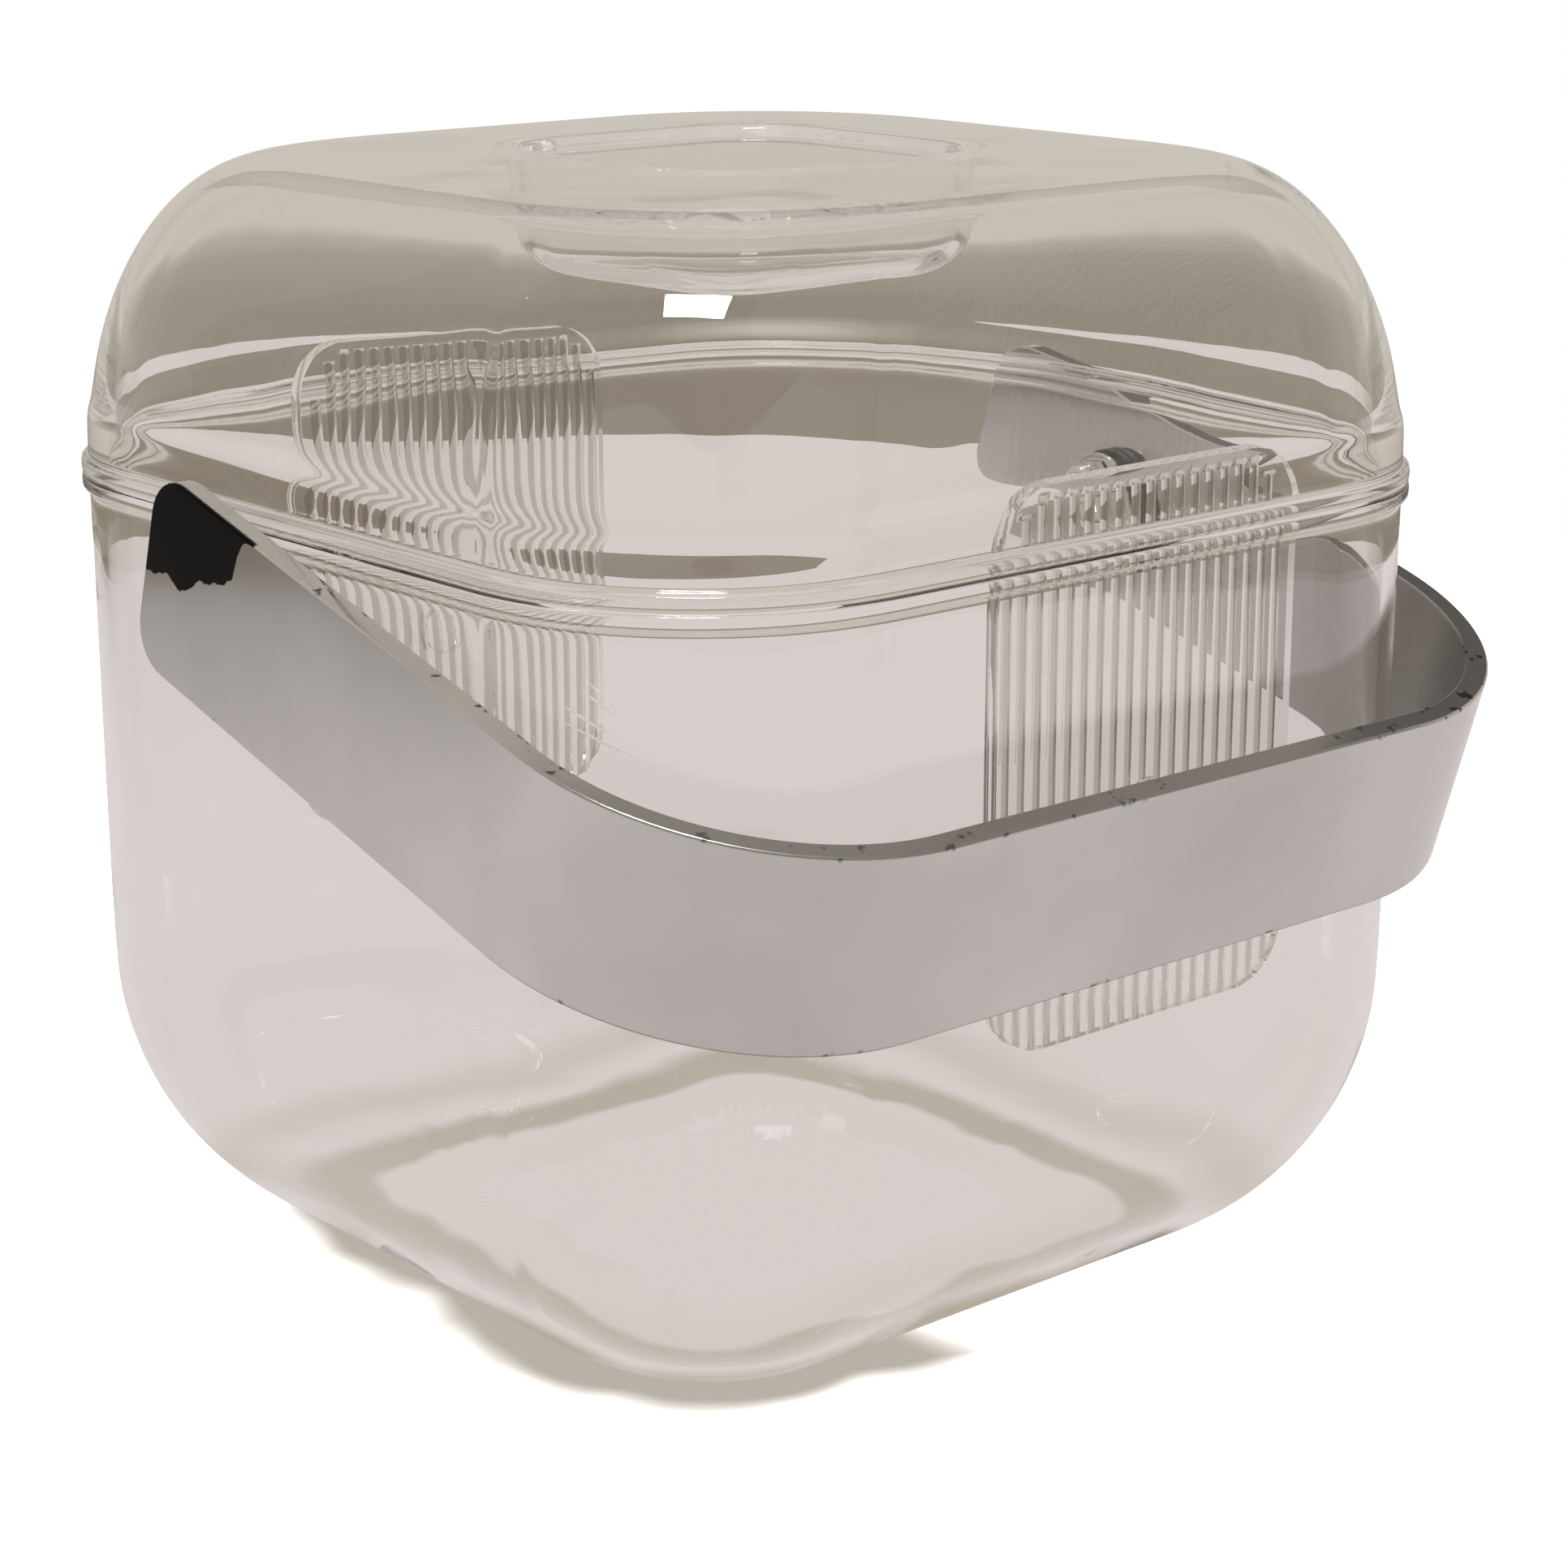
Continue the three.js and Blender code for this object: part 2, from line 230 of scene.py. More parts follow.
# %% The room: a world whose tone changes with height
EYE_WHITE = (1, 1, 1, 1)
ROOM_TONES = [
    (-10.6, from_screen(138, 129, 115)), (-8.4, from_screen(152, 143, 130)),
    (-7.2, from_screen(170, 162, 150)), (-5.6, from_screen(204, 197, 187)),
]


def height_share(degrees):
    """Where an elevation falls between straight down and straight up."""
    return (math.sin(math.radians(degrees)) + 1) / 2


def make_room():
    world = bpy.data.worlds.new("room")
    bpy.context.scene.world = world
    world.use_nodes = True
    tree = world.node_tree
    tree.nodes.clear()
    place = add_node(tree, "ShaderNodeTexCoord")
    parts = add_node(tree, "ShaderNodeSeparateXYZ")
    height = add_node(tree, "ShaderNodeMapRange", From_Min=-1.0, From_Max=1.0)
    tones = add_node(tree, "ShaderNodeValToRGB")
    ramp_stops(tones, [(height_share(degrees), tone) for degrees, tone in ROOM_TONES])
    ray = add_node(tree, "ShaderNodeLightPath")
    glow = add_node(tree, "ShaderNodeBackground")
    out = add_node(tree, "ShaderNodeOutputWorld")
    link = tree.links.new
    link(place.outputs["Generated"], parts.inputs[0])
    link(parts.outputs["Z"], height.inputs["Value"])
    link(height.outputs[0], tones.inputs[0])
    seen = blend_colours(tree, ray.outputs["Is Camera Ray"], tones.outputs[0], EYE_WHITE)
    link(seen, glow.inputs["Color"])
    link(glow.outputs[0], out.inputs[0])


make_room()
print(len(ROOM_TONES), "room tones")

# %% [markdown]
# ## The table
# The box stands on a pale disc. The disc ends behind the box, and that edge shows through the
# walls as the line where pink turns to grey. Seen through the plastic, the box's shade is painted
# on the table as soft rings round its foot: one node group measures how far a place is outside
# the foot, and the painted shade rings are a colour ramp on that distance. The eye sees a white
# floor with a painted beige shadow on the side away from the window.

# %% How far a place is from the foot
TABLE_RADIUS = 0.77
FOOT_HALF = 59 * MM
FOOT_CORNER = 18 * MM
RING_RIPPLE = 0.03


def beyond_the_foot():
    """A node group: how far a place on the table lies outside the box's footprint, in metres."""
    tree = bpy.data.node_groups.new("beyond_the_foot", "ShaderNodeTree")
    place = add_node(tree, "ShaderNodeTexCoord")
    parts = add_node(tree, "ShaderNodeSeparateXYZ")
    tree.links.new(place.outputs["Object"], parts.inputs[0])
    squares = []
    for axis in ("X", "Y"):
        reach = math_node(tree, "ABSOLUTE", parts.outputs[axis])
        beyond = math_node(tree, "SUBTRACT", reach, FOOT_HALF - FOOT_CORNER)
        squares.append(math_node(tree, "POWER", math_node(tree, "MAXIMUM", beyond), 2.0))
    length = math_node(tree, "SQRT", math_node(tree, "ADD", *squares))
    uneven = math_node(tree, "SUBTRACT", noise(tree, place.outputs["Object"], 16), 0.5)
    rippled = math_node(tree, "ADD", length, math_node(tree, "MULTIPLY", uneven, RING_RIPPLE))
    return group_output(tree, "Distance", math_node(tree, "SUBTRACT", rippled, FOOT_CORNER))


# %% The table's finish
TABLE_PINK = from_screen(221, 213, 210)
# The shade tones below are painted shade for the rings round the foot.
PAINTED_TABLE_SHADE = from_screen(180, 171, 158)
TABLE_FAINT_SHADE = from_screen(205, 197, 190)
TABLE_GREY = from_screen(178, 172, 168)
# A painted contact shadow for the floor the eye sees.
PAINTED_CONTACT_SHADE = from_screen(184, 177, 167)
RING_SCALE = 0.1
FAR_TURN, FAR_SCALE, FAR_SHIFT = math.radians(-131), 2.6, -1.1
# Painted shade: darker rings round the foot stand in for the box's shadow on the table.
PAINTED_SHADE_RINGS = [
    (0.0, TABLE_PINK), (3 * MM, TABLE_PINK), (7 * MM, PAINTED_TABLE_SHADE), (15 * MM, PAINTED_TABLE_SHADE),
    (24 * MM, TABLE_PINK), (40 * MM, TABLE_FAINT_SHADE), (60 * MM, TABLE_PINK),
]


def through_the_plastic(tree, place, beyond):
    """The table's tone for bent and bounced rays: painted shade rings round the foot, greyer far behind.
    """
    tones = add_node(tree, "ShaderNodeValToRGB")
    ramp_stops(tones, [(distance / RING_SCALE, tone) for distance, tone in PAINTED_SHADE_RINGS])
    tree.links.new(math_node(tree, "MULTIPLY", beyond, 1 / RING_SCALE), tones.inputs[0])
    turned = add_node(tree, "ShaderNodeMapping", vector_type="POINT", Rotation=(0, 0, FAR_TURN),
                      Scale=(FAR_SCALE, FAR_SCALE, 1), Location=(FAR_SHIFT, 0, 0))
    far = add_node(tree, "ShaderNodeTexGradient")
    tree.links.new(place, turned.inputs[0])
    tree.links.new(turned.outputs[0], far.inputs[0])
    return blend_colours(tree, far.outputs["Fac"], tones.outputs[0], TABLE_GREY)


def floor_for_the_eye(tree, place, beyond):
    """A white floor, with a painted beige shadow close to the foot on the side away from the window."""
    white = add_node(tree, "ShaderNodeBsdfDiffuse", Color=(0.97, 0.97, 0.97, 1))
    lit = add_node(tree, "ShaderNodeEmission", Color=EYE_WHITE, Strength=0.45)
    open_floor = add_node(tree, "ShaderNodeAddShader")
    # A painted shadow: a flat beige glow close to the foot, away from the window.
    painted_shadow = add_node(tree, "ShaderNodeEmission", Color=PAINTED_CONTACT_SHADE)
    floor = add_node(tree, "ShaderNodeMixShader")
    clear_of_box = smooth_step(tree, beyond, 18 * MM, 29 * MM)
    lamp_side = smooth_step(tree, dot(tree, place, (1, 0, 0)), -22 * MM, 4 * MM)
    link = tree.links.new
    link(white.outputs[0], open_floor.inputs[0])
    link(lit.outputs[0], open_floor.inputs[1])
    link(math_node(tree, "MAXIMUM", clear_of_box, lamp_side), floor.inputs[0])
    link(painted_shadow.outputs[0], floor.inputs[1])
    link(open_floor.outputs[0], floor.inputs[2])
    return floor.outputs[0]


def table_finish():
    material = bpy.data.materials.new("table_top")
    material.use_nodes = True
    tree = material.node_tree
    tree.nodes.clear()
    place = add_node(tree, "ShaderNodeTexCoord").outputs["Object"]
    beyond = add_node(tree, "ShaderNodeGroup", node_tree=beyond_the_foot()).outputs[0]
    ray = add_node(tree, "ShaderNodeLightPath")
    bent = add_node(tree, "ShaderNodeEmission")
    pick = add_node(tree, "ShaderNodeMixShader")
    out = add_node(tree, "ShaderNodeOutputMaterial")
    link = tree.links.new
    link(through_the_plastic(tree, place, beyond), bent.inputs["Color"])
    link(ray.outputs["Is Camera Ray"], pick.inputs[0])
    link(bent.outputs[0], pick.inputs[1])
    link(floor_for_the_eye(tree, place, beyond), pick.inputs[2])
    link(pick.outputs[0], out.inputs[0])
    return material


# %% Make the table
def link_mesh(name, bm, finish):
    """Makes a bmesh an object in the scene."""
    mesh = bpy.data.meshes.new(name)
    bm.to_mesh(mesh)
    bm.free()
    mesh.materials.append(finish)
    made = bpy.data.objects.new(name, mesh)
    bpy.context.scene.collection.objects.link(made)
    return made


disc = bmesh.new()
bmesh.ops.create_circle(disc, cap_ends=True, segments=96, radius=TABLE_RADIUS)
table = link_mesh("table", disc, table_finish())
print("table", 2 * TABLE_RADIUS, "m across")

# %% [markdown]
# ## Lamps
# A window stands in front of the box, high up: the small white patch on the lid is its mirror
# image, so its place and size are chosen for that patch. A large dim lamp overhead only lights
# the floor, and is hidden from plastic and plating so that it leaves no patch of its own.
# Light bounces many times between a clear wall's faces, so the limits are set high. With low
# limits the lid gets black outlines.

# %% Studio lights
LAMP_AIM = Vector((0, 0, 0.12))
MOST_BOUNCES = 96


def softbox(name, azimuth, elevation, distance, size, power):
    """A soft rectangular lamp that points at the middle of the box."""
    lamp = bpy.data.lights.new(name, "AREA")
    lamp.shape = "RECTANGLE"
    lamp.size, lamp.size_y = size
    lamp.energy = power
    holder = bpy.data.objects.new(name, lamp)
    bpy.context.scene.collection.objects.link(holder)
    out = direction(azimuth, elevation)
    holder.location = LAMP_AIM + distance * out
    holder.rotation_euler = out.to_track_quat("Z", "Y").to_euler()
    holder.visible_camera = False
    return holder


softbox("window", -49, 69, 2.2, (0.7, 0.38), 44)
overhead = softbox("overhead", 20, 75, 1.8, (1.4, 1.4), 16)
overhead.visible_glossy = overhead.visible_transmission = False
scene = bpy.context.scene
scene.view_settings.view_transform = "Standard"
cycles = scene.cycles
cycles.max_bounces = cycles.transmission_bounces = cycles.glossy_bounces = MOST_BOUNCES
print("2 lamps, and", MOST_BOUNCES, "bounces at most")

# %% [markdown]
# ## A dark card
# Bright metal shows whatever stands round it. In an evenly pale room the upper edges of the band
# would be as pale as its face, so a grey card hangs high behind the box, where those edges and the
# dome nuts see it. Lamps, the eye and the clear plastic don't see it.

# %% A card for the plating to reflect
CARD_PLACE = direction(139, 38)
CARD_DISTANCE = 1.4
CARD_SIZE = (1.6, 0.45)
CARD_GREY = from_screen(104, 98, 92)


def high_card():
    material = bpy.data.materials.new("high_card")
    material.use_nodes = True
    tree = material.node_tree
    tree.nodes.clear()
    glow = add_node(tree, "ShaderNodeEmission", Color=CARD_GREY)
    tree.links.new(glow.outputs[0], add_node(tree, "ShaderNodeOutputMaterial").inputs[0])
    facing = (-CARD_PLACE).to_track_quat("Z", "Y").to_matrix().to_4x4()
    place = Matrix.Translation(CARD_DISTANCE * CARD_PLACE) @ facing
    bm = bmesh.new()
    bmesh.ops.create_grid(
        bm, x_segments=1, y_segments=1, size=0.5, matrix=place @ Matrix.Diagonal((*CARD_SIZE, 1, 1)),
    )
    card = link_mesh("high_card", bm, material)
    card.visible_camera = card.visible_diffuse = card.visible_shadow = False
    card.visible_transmission = False
    return card


card = high_card()
print("card", CARD_SIZE, "m")

# %% [markdown]
# ## Building a rounded-square shell
# Tub and lid are mouldings of one kind: seen from above each is a square with rounded corners,
# and every corner turns about its own upright axis. So one profile, from the middle of the
# outside round the rim to the middle of the inside, is spun a quarter turn. Each row of that
# corner is pushed out to its own place, the ends are extruded to the middle planes, and two
# mirrors finish the square. A subdivision surface then gives the soft flow of moulded plastic.

# %% Rows of a profile
def quarter_turn(steps):
    return [math.radians(90) * step / steps for step in range(steps + 1)]


def rim_rows(outline, level):
    """Rows for a rim from (out, up) pairs in millimetres, from the wall's face and a level."""
    return [(wall_half + out * MM, corner_radius + out * MM, level + up * MM) for out, up in outline]


# %% One quarter spun, extruded and mirrored
CORNER_STEPS = 8
SIDE_SUPPORT = 0.93
END_INSET = 3 * MM
TINY = 1e-7


def rounded_square_shell(profile):
    """A closed shell from rows of (half width, corner radius, height)."""
    bm = bmesh.new()
    row_of = bm.verts.layers.int.new("row")
    rows = []
    for number, (half, corner, height) in enumerate(profile):
        vert = bm.verts.new((corner, 0, height))
        vert[row_of] = number
        rows.append(vert)
    edges = [bm.edges.new(pair) for pair in zip(rows, rows[1:])]
    bmesh.ops.spin(
        bm, geom=rows + edges, axis=(0, 0, 1), cent=(0, 0, 0),
        angle=math.radians(90), steps=CORNER_STEPS,
    )
    for number, (half, corner, height) in enumerate(profile):
        ring = [v for v in bm.verts if v[row_of] == number]
        bmesh.ops.translate(bm, verts=ring, vec=(half - corner, half - corner, 0))
    for flatten in ((1, 0, 1), (0, 1, 1)):
        extrude_to_middle(bm, row_of, profile, flatten)
    for axis in ("X", "Y"):
        bmesh.ops.mirror(
            bm, geom=bm.verts[:] + bm.edges[:] + bm.faces[:],
            matrix=Matrix.Identity(4), merge_dist=10 * TINY, axis=axis,
        )
    close_ends(bm)
    bmesh.ops.recalc_face_normals(bm, faces=bm.faces)
    return bm


def extrude_to_middle(bm, row_of, profile, flatten):
    """Runs the open end of the corner straight to the middle plane that flatten squeezes onto."""
    level = flatten.index(0)

    def at_end(vert):
        half, corner, height = profile[vert[row_of]]
        return abs(vert.co[level] - (half - corner)) < TINY and vert.co[1 - level] > half - TINY

    edges = [e for e in bm.edges if all(at_end(v) for v in e.verts)]
    for share in (SIDE_SUPPORT, 0):
        made = bmesh.ops.extrude_edge_only(bm, edges=edges)["geom"]
        verts = [g for g in made if isinstance(g, bmesh.types.BMVert)]
        squeeze = [1 if keep else share / (SIDE_SUPPORT if share == 0 else 1) for keep in flatten]
        bmesh.ops.scale(bm, verts=verts, vec=squeeze)
        edges = [g for g in made if isinstance(g, bmesh.types.BMEdge)]


def close_ends(bm):
    """Fills the two open middles with flat faces, inset once to keep them flat."""
    loose = [e for e in bm.edges if e.is_boundary]
    filled = bmesh.ops.edgeloop_fill(bm, edges=loose)["faces"]
    bmesh.ops.inset_individual(bm, faces=filled, thickness=END_INSET)


# %% [markdown]
# ## From a mesh to a piece of the box
# Every piece takes a CAD node's place and rides on its body, so it moves with the real joint. Where
# a piece needs a hole or a joined part, a Boolean modifier does it more safely than cutting faces
# by hand, and is settled into plain mesh at once.

# %% Pieces, and the tools that finish them
def make_piece(name, bm, finish, node):
    """Makes a piece that stands for a CAD node and rides with that node's body."""
    piece = link_mesh(name, bm, finish)
    piece.data.shade_smooth()
    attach(piece, frame["nodes"][node]["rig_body"])
    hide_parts(node)
    print(name, len(piece.data.polygons), "faces")
    return piece


def smooth_surface(piece):
    """Adds a live subdivision surface, the same in view and render."""
    flow = piece.modifiers.new("flow", "SUBSURF")
    flow.levels = flow.render_levels = 2


def settle(piece):
    """Turns the piece's modifiers into plain mesh."""
    bpy.context.view_layer.update()
    seen = piece.evaluated_get(bpy.context.evaluated_depsgraph_get())
    settled = bpy.data.meshes.new_from_object(seen)
    piece.modifiers.clear()
    piece.data = settled


def combine(piece, bm, operation):
    """Joins a solid to the piece or cuts it away."""
    tool = link_mesh("tool", bm, piece.data.materials[0])
    joint = piece.modifiers.new("joint", "BOOLEAN")
    joint.operation = operation
    joint.object = tool
    settle(piece)
    bpy.data.objects.remove(tool)


def round_off(bm, geom, width, steps, affect="VERTICES"):
    bmesh.ops.bevel(
        bm, geom=geom, offset=width, offset_type="OFFSET", affect=affect,
        segments=steps, profile=0.5, material=-1,
    )


def crease(piece, angle):
    """Shades smooth, apart from edges sharper than the angle in degrees."""
    piece.data.shade_smooth()
    piece.data.set_sharp_from_angle(angle=math.radians(angle))


# %% [markdown]
# ## Clear acrylic
# Acrylic bends light a little less than window glass, with an IOR of 1.49. Rays from lamps go
# straight through by a Transparent shader, because a renderer would otherwise give clear plastic
# the solid black shadow of a stone.

# %% The acrylic finish
ACRYLIC_IOR = 1.49
LAMP_LIGHT_LEFT = (0.93, 0.92, 0.91, 1)


def clear_acrylic(name, tint):
    material = principled(name, Base_Color=tint, IOR=ACRYLIC_IOR, Transmission_Weight=1, Roughness=0)
    tree = material.node_tree
    ray = add_node(tree, "ShaderNodeLightPath")
    lamp_path = add_node(tree, "ShaderNodeBsdfTransparent", Color=LAMP_LIGHT_LEFT)
    pick = add_node(tree, "ShaderNodeMixShader")
    link = tree.links.new
    link(ray.outputs["Is Shadow Ray"], pick.inputs[0])
    link(tree.nodes["Principled BSDF"].outputs[0], pick.inputs[1])
    link(lamp_path.outputs[0], pick.inputs[2])
    link(pick.outputs[0], tree.nodes["Material Output"].inputs["Surface"])
    return material


tub_acrylic = clear_acrylic("tub_acrylic", (0.97, 0.965, 0.96, 1))
lid_acrylic = clear_acrylic("lid_acrylic", (0.96, 0.955, 0.945, 1))
plate_acrylic = clear_acrylic("plate_acrylic", (0.97, 0.965, 0.955, 1))
print("3 clear finishes, IOR", ACRYLIC_IOR)

# %% [markdown]
# ## Slightly uneven walls
# A moulded wall is never quite flat, and lines seen through it waver a little. Moving the mesh
# would need very many faces. A Bump node only tilts the shading, and that bends the view in the
# same way. Tub and lid share it as one node group.

# %% Waves in the moulded walls
WAVE_SCALE = 30
WAVE_HEIGHT = 0.25 * MM


def wall_waves():
    """A node group: the faint unevenness of a moulded wall, as a normal."""
    tree = bpy.data.node_groups.new("wall_waves", "ShaderNodeTree")
    for name in ("Scale", "Height"):
        tree.interface.new_socket(name, in_out="INPUT", socket_type="NodeSocketFloat")
    given = tree.nodes.new("NodeGroupInput")
    place = add_node(tree, "ShaderNodeTexCoord")
    ripple = add_node(tree, "ShaderNodeTexNoise", Detail=1.0)
    wave = add_node(tree, "ShaderNodeBump", Strength=1.0)
    link = tree.links.new
    link(place.outputs["Object"], ripple.inputs["Vector"])
    link(given.outputs["Scale"], ripple.inputs["Scale"])
    link(ripple.outputs[0], wave.inputs["Height"])
    link(given.outputs["Height"], wave.inputs["Distance"])
    return group_output(tree, "Normal", wave.outputs[0], "NodeSocketVector")


waves_group = wall_waves()
for acrylic in (tub_acrylic, lid_acrylic):
    tree = acrylic.node_tree
    waves = add_node(tree, "ShaderNodeGroup", node_tree=waves_group,
                     Scale=WAVE_SCALE, Height=WAVE_HEIGHT)
    tree.links.new(waves.outputs[0], tree.nodes["Principled BSDF"].inputs["Normal"])
print("waves about", round(1 / WAVE_SCALE / MM), "mm long")

# %% [markdown]
# ## The tub
# The tub's bowl is an ellipse in section, deeper than it is wide, and it runs up into upright
# walls. At the top a flange stands out, and inside it a thin lip rises to locate the lid.

# %% The tub
BOWL_INSET = 49.4 * MM
BOWL_RISE = 61.2 * MM
BOWL_STEPS = 9
BOWL_CORNER_PULL = 0.6
TUB_RIM = [
    (0, -14), (0, -4.2), (0.15, -3.4), (1.1, -3.05), (1.5, -2.6), (1.5, -0.4), (1.15, 0),
    (-0.85, 0), (-1.2, 0.3), (-1.2, 2.3), (-1.55, 2.7), (-2.65, 2.7), (-3, 2.3), (-3, -6), (-3, -14),
]


def bowl_rows(inward):
    rows = []
    for turn in quarter_turn(BOWL_STEPS):
        drawn_in = (BOWL_INSET - inward) * (1 - math.sin(turn))
        height = inward + (BOWL_RISE - inward) * (1 - math.cos(turn))
        corner = corner_radius - inward - BOWL_CORNER_PULL * drawn_in
        rows.append((wall_half - inward - drawn_in, corner, height))
    return rows


tub_profile = bowl_rows(0) + rim_rows(TUB_RIM, parting_z) + bowl_rows(wall)[::-1]
tub = make_piece("tub_moulding", rounded_square_shell(tub_profile), tub_acrylic, "tub")
smooth_surface(tub)

# %% [markdown]
# ## Scuffs on the tub
# Use has left four white scratches on the front left corner. A painted texture would need a map
# of the tub, so each is a hair-thin sliver that follows the wall. Its two ends are given as
# degrees round the corner from the side wall, and height in millimetres.

# %% Slivers round the corner
SCUFFS = [
    ((25.7, 150.4), (32.4, 145.6)), ((24.6, 148.5), (32.4, 144.3)),
    ((19.1, 145.8), (32.5, 140.4)), ((18.9, 142.9), (36.0, 137.3)),
]
SCUFF_STEPS = 10
SCUFF_WIDTH = 0.5 * MM
SCUFF_TIP = 0.02 * MM
SCUFF_STAND_OFF = 0.05 * MM


def corner_place(turn, height):
    """A place just outside the wall at the front left corner."""
    centre = wall_half - corner_radius
    reach = corner_radius + SCUFF_STAND_OFF
    a = math.radians(turn)
    return Vector((-centre - reach * math.cos(a), -centre - reach * math.sin(a), height * MM))


def make_scuffs():
    bm = bmesh.new()
    for (turn, height), (last_turn, last_height) in SCUFFS:
        pairs = []
        for step in range(SCUFF_STEPS + 1):
            share = step / SCUFF_STEPS
            at_turn = turn + share * (last_turn - turn)
            middle = corner_place(at_turn, height + share * (last_height - height))
            half = Vector((0, 0, SCUFF_WIDTH / 2 * math.sin(math.pi * share) + SCUFF_TIP))
            pairs.append((bm.verts.new(middle - half), bm.verts.new(middle + half)))
        for (low, high), (next_low, next_high) in zip(pairs, pairs[1:]):
            bm.faces.new((low, high, next_high, next_low))
    bmesh.ops.solidify(bm, geom=bm.faces[:], thickness=0.03 * MM)
    bmesh.ops.recalc_face_normals(bm, faces=bm.faces)
    return bm


scuff_white = principled("scuff_white", Base_Color=(0.9, 0.88, 0.87, 1), Roughness=0.7)
scuffs = link_mesh("scuffs", make_scuffs(), scuff_white)
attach(scuffs, frame["nodes"]["tub"]["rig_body"])
print(len(SCUFFS), "scuffs")

# %% [markdown]
# ## The lid
# The lid is a shallow dome with big soft shoulders and a square recess sunk in its top, which
# the fingers hold from inside. Its wall is thicker at the rim, and that wedge of plastic bends
# the view of the far rim upwards.

# %% The lid's measures
LID_HEIGHT = 60 * MM
LID_LEAN = 0.071
LID_DOME = 2.2 * MM
SHOULDER_INSET = 23.9 * MM
SHOULDER_RISE = 49.5 * MM
SHOULDER_STEPS = 9
SHOULDER_CORNER_PULL = 0.08
RIM_WALL = 4.5 * MM
TAPER_HEIGHT = 35 * MM
RECESS_HALF = 36.5 * MM
RECESS_CORNER = 18.5 * MM
RECESS_DEPTH = 22.6 * MM
RECESS_DRAFT = 1 * MM
RECESS_FILLET = 9 * MM
RECESS_EDGE = 2 * MM
FILLET_STEPS, EDGE_STEPS = 5, 3
LID_RIM = [
    (0, 9), (0, 1.6), (0.15, 0.6), (1.1, 0.1), (1.5, -0.3), (1.5, -2.5), (1.15, -2.9), (-0.55, -2.9),
    (-0.9, -2.6), (-0.9, -0.45), (-1.1, -0.2), (-4.1, -0.2), (-4.5, 0.2), (-4.5, 2),
]
lid_flange_top = lid_low.z + flange_height
lid_shoulder = lid_flange_top + LID_HEIGHT
recess_floor = lid_shoulder + LID_DOME - RECESS_DEPTH
print("the lid's top is at", round(lid_shoulder + LID_DOME, 4), "m")

# %% Rows of the lid's profile
def lid_wall_at(height):
    return wall_half - LID_LEAN * (height - lid_flange_top)


def dome_at(half):
    flat_half = lid_wall_at(lid_shoulder) - SHOULDER_INSET
    return lid_shoulder + LID_DOME * (1 - (half / flat_half) ** 2)


def recess_rows(grown):
    """The recess from its floor to its rounded upper edge; grown gives its underside."""
    rows = []
    fillet = RECESS_FILLET + grown
    for turn in quarter_turn(FILLET_STEPS):
        drawn_in = fillet * (1 - math.sin(turn))
        half = RECESS_HALF - RECESS_DRAFT + grown - drawn_in
        height = recess_floor - grown + fillet * (1 - math.cos(turn))
        rows.append((half, RECESS_CORNER + grown - drawn_in, height))
    top = dome_at(RECESS_HALF) - grown - RECESS_EDGE
    for turn in quarter_turn(EDGE_STEPS):
        out = grown + RECESS_EDGE * (1 - math.cos(turn))
        height = top + RECESS_EDGE * math.sin(turn)
        rows.append((RECESS_HALF + out, RECESS_CORNER + out, height))
    return rows


def dome_rows(grown):
    """The nearly flat top between the recess and the shoulder."""
    shoulder_start = lid_wall_at(lid_shoulder) - SHOULDER_INSET
    start = RECESS_HALF + RECESS_EDGE + grown
    rows = []
    for share in (0.12, 0.5, 0.88):
        half = start + share * (shoulder_start - start)
        corner = RECESS_CORNER + RECESS_EDGE + share * (corner_radius - RECESS_CORNER)
        rows.append((half, corner, dome_at(half) - grown))
    return rows


def shoulder_rows(inward):
    rows = []
    centre = lid_shoulder - SHOULDER_RISE
    for turn in quarter_turn(SHOULDER_STEPS):
        height = centre + (SHOULDER_RISE - inward) * math.cos(turn)
        drawn_in = (SHOULDER_INSET - inward) * (1 - math.sin(turn))
        taper = min(max((height - lid_flange_top) / TAPER_HEIGHT, 0), 1)
        skin = (RIM_WALL + taper * (wall - RIM_WALL)) if inward else 0
        corner = corner_radius - inward - SHOULDER_CORNER_PULL * drawn_in
        rows.append((lid_wall_at(height) - skin - drawn_in, corner, height))
    return rows


# %% The lid
outside = recess_rows(0) + dome_rows(0) + shoulder_rows(0)
inside = recess_rows(wall) + dome_rows(wall) + shoulder_rows(wall)
lid_profile = outside + rim_rows(LID_RIM, lid_flange_top) + inside[::-1]
lid = make_piece("lid_moulding", rounded_square_shell(lid_profile), lid_acrylic, "lid")
smooth_surface(lid)

# %% [markdown]
# ## The plated handle band
# The handle is one flat band bent into a U. It is easiest to draw in its own frame, and to turn the
# finished mesh to where it hangs.

# %% The band's own frame
# x runs across the box, y out along the arms, and z across the band's width.
arm_outer = band_high.x
along = Vector((0, -math.cos(rest_dip), -math.sin(rest_dip)))
across = Vector((1, 0, 0)).cross(along)
BAND_CORNER = 53.7 * MM
BAND_THICKNESS = 4.8 * MM
BAND_WIDTH = 40.3 * MM
BAND_REACH = 128.7 * MM
BAND_TAIL = 42.7 * MM
TAIL_RADIUS = 9 * MM
print("band", round(BAND_WIDTH / MM, 1), "mm wide,", round(math.degrees(rest_dip), 1), "degrees down")

# %% [markdown]
# ## Wear on the plating
# The plating has come off in one black patch on the left tail. Small dark flecks show along the
# edges. The inner face and the upper strip round the front are rougher, and they are painted
# darker as painted shade, standing in for the dark things they reflect. A painted texture could
# hold that, but each is a simple rule about a place on the band, so each is a node group that
# reads the place and puts out a mask.

